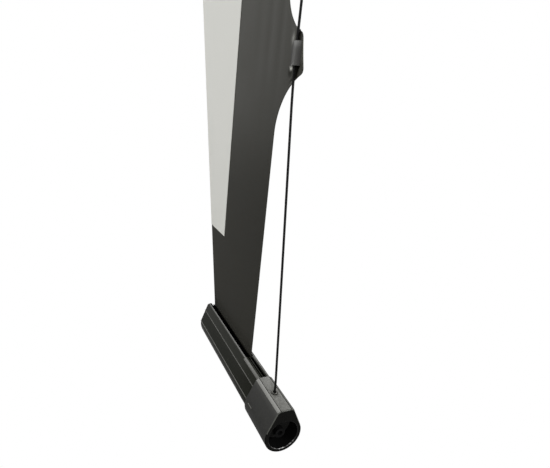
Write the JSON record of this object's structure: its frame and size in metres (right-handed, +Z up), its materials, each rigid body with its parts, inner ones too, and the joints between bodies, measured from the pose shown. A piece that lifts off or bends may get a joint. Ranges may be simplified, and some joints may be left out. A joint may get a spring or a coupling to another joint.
{
  "type": "motorized projection screen",
  "caption": "Wall-mounted motorized projection screen: cloth with side tension cables and tabs winds from a slotted housing down to a weight bar with moulded end caps.",
  "frame": {"origin": "middle of the four wall bolt holes, on the wall plane", "axes": "+X along the screen towards the idler end, +Y into the wall, +Z up"},
  "size_m": [2.6015, 0.0978, 1.8249],
  "materials": {
    "housing_black": "satin black powder coat",
    "bar_anodised": "dark satin anodised",
    "cap_plastic": "fine moulded texture",
    "black_cloth": "matt black coated cloth",
    "screen_white": "matt white viewing coat",
    "cable_black": "black coated cord",
    "eyelet_metal": "black nickel",
    "zinc_steel": "zinc plated",
    "black_screws": "black oxide",
    "tube_aluminium": "mill finish",
    "motor_grey": "grey enamel",
    "nylon_black": "moulded nylon",
    "nylon_pale": "natural nylon",
    "brass_fitting": "turned",
    "box_plastic": "moulded",
    "board_green": "circuit board",
    "lead_rubber": "matt",
    "eye_red": "dark red lens",
    "limit_white": "moulded",
    "limit_yellow": "moulded"
  },
  "bodies": {
    "housing": {"housing_shell": "housing_black", "service_cover": "housing_black", "cover_screws": "black_screws", "end_cap_left": "cap_plastic", "end_cap_right": "cap_plastic", "end_cap_screws": "black_screws", "motor_plate": "zinc_steel", "idler_plate": "zinc_steel", "motor_head": "nylon_black", "motor_can": "motor_grey", "motor_screws": "zinc_steel", "motor_lead": "lead_rubber", "idler_bush": "nylon_pale", "control_box": "box_plastic", "control_lid": "box_plastic", "control_board": "board_green", "ir_window": "eye_red", "cord_gland": "lead_rubber", "wall_bracket_left": "housing_black", "wall_bracket_right": "housing_black", "bracket_bolts": "black_screws", "bracket_nuts": "zinc_steel", "backing_fabric": "black_cloth", "viewing_surface": "screen_white", "tab_sleeves_left": "black_cloth", "tab_sleeves_right": "black_cloth", "cable_left": "cable_black", "cable_right": "cable_black"},
    "roller": {"roller_tube": "tube_aluminium", "drive_wheel": "nylon_black", "drive_shaft": "zinc_steel", "limit_crown": "nylon_black", "idler_plug": "nylon_black", "idler_pin": "zinc_steel", "fabric_spline": "nylon_pale", "fabric_wrap": "black_cloth"},
    "bar": {"weight_bar": "bar_anodised", "ballast_bar": "zinc_steel", "hem_rod": "nylon_pale", "hem_loop": "black_cloth", "bar_cap_left": "cap_plastic", "bar_cap_right": "cap_plastic", "bar_cap_screws": "black_screws", "eyelet_left": "eyelet_metal", "eyelet_right": "eyelet_metal", "cable_post_left": "zinc_steel", "cable_post_right": "zinc_steel", "cable_tail_left": "cable_black", "cable_tail_right": "cable_black"},
    "slider_left": {"tension_slider_left": "brass_fitting", "cable_ferrule_left": "brass_fitting"},
    "slider_right": {"tension_slider_right": "brass_fitting", "cable_ferrule_right": "brass_fitting"},
    "tightener_left": {"tension_screw_left": "black_screws"},
    "tightener_right": {"tension_screw_right": "black_screws"},
    "limit_up": {"limit_screw_up": "limit_white"},
    "limit_down": {"limit_screw_down": "limit_yellow"}
  },
  "joints": [
    {"name": "bar_drop", "type": "slide", "parent": "housing", "child": "bar", "axis": [0, 0, 1], "range_m": [0, 1.663], "deforming": ["backing_fabric", "viewing_surface", "tab_sleeves_left", "tab_sleeves_right", "cable_left", "cable_right"]},
    {"name": "roller_spin", "type": "hinge", "parent": "housing", "child": "roller", "pos_m": [0, -0.0561, -0.065], "axis": [1, 0, 0], "range_deg": [0, 2951]},
    {"name": "cable_slide_right", "type": "slide", "parent": "bar", "child": "slider_right", "axis": [-1, 0, 0], "range_m": [-0.0032, 0.0032]},
    {"name": "tension_turn_right", "type": "hinge", "parent": "slider_right", "child": "tightener_right", "pos_m": [1.276, -0.025, -1.7877], "axis": [-1, 0, 0], "range_deg": [-1441, 1441]},
    {"name": "cable_slide_left", "type": "slide", "parent": "bar", "child": "slider_left", "axis": [1, 0, 0], "range_m": [-0.0032, 0.0032]},
    {"name": "tension_turn_left", "type": "hinge", "parent": "slider_left", "child": "tightener_left", "pos_m": [-1.276, -0.025, -1.7877], "axis": [1, 0, 0], "range_deg": [-1441, 1441]},
    {"name": "limit_turn_up", "type": "hinge", "parent": "housing", "child": "limit_up", "pos_m": [-1.2845, -0.0561, -0.053], "axis": [1, 0, 0], "continuous": true},
    {"name": "limit_turn_down", "type": "hinge", "parent": "housing", "child": "limit_down", "pos_m": [-1.2845, -0.0561, -0.077], "axis": [1, 0, 0], "continuous": true}
  ],
  "couplings": [
    {"joint": "roller_spin", "follows": "bar_drop", "rad_per_m": 30.96},
    {"joint": "tension_turn_right", "follows": "cable_slide_right", "rad_per_m": 7854},
    {"joint": "tension_turn_left", "follows": "cable_slide_left", "rad_per_m": 7854}
  ]
}
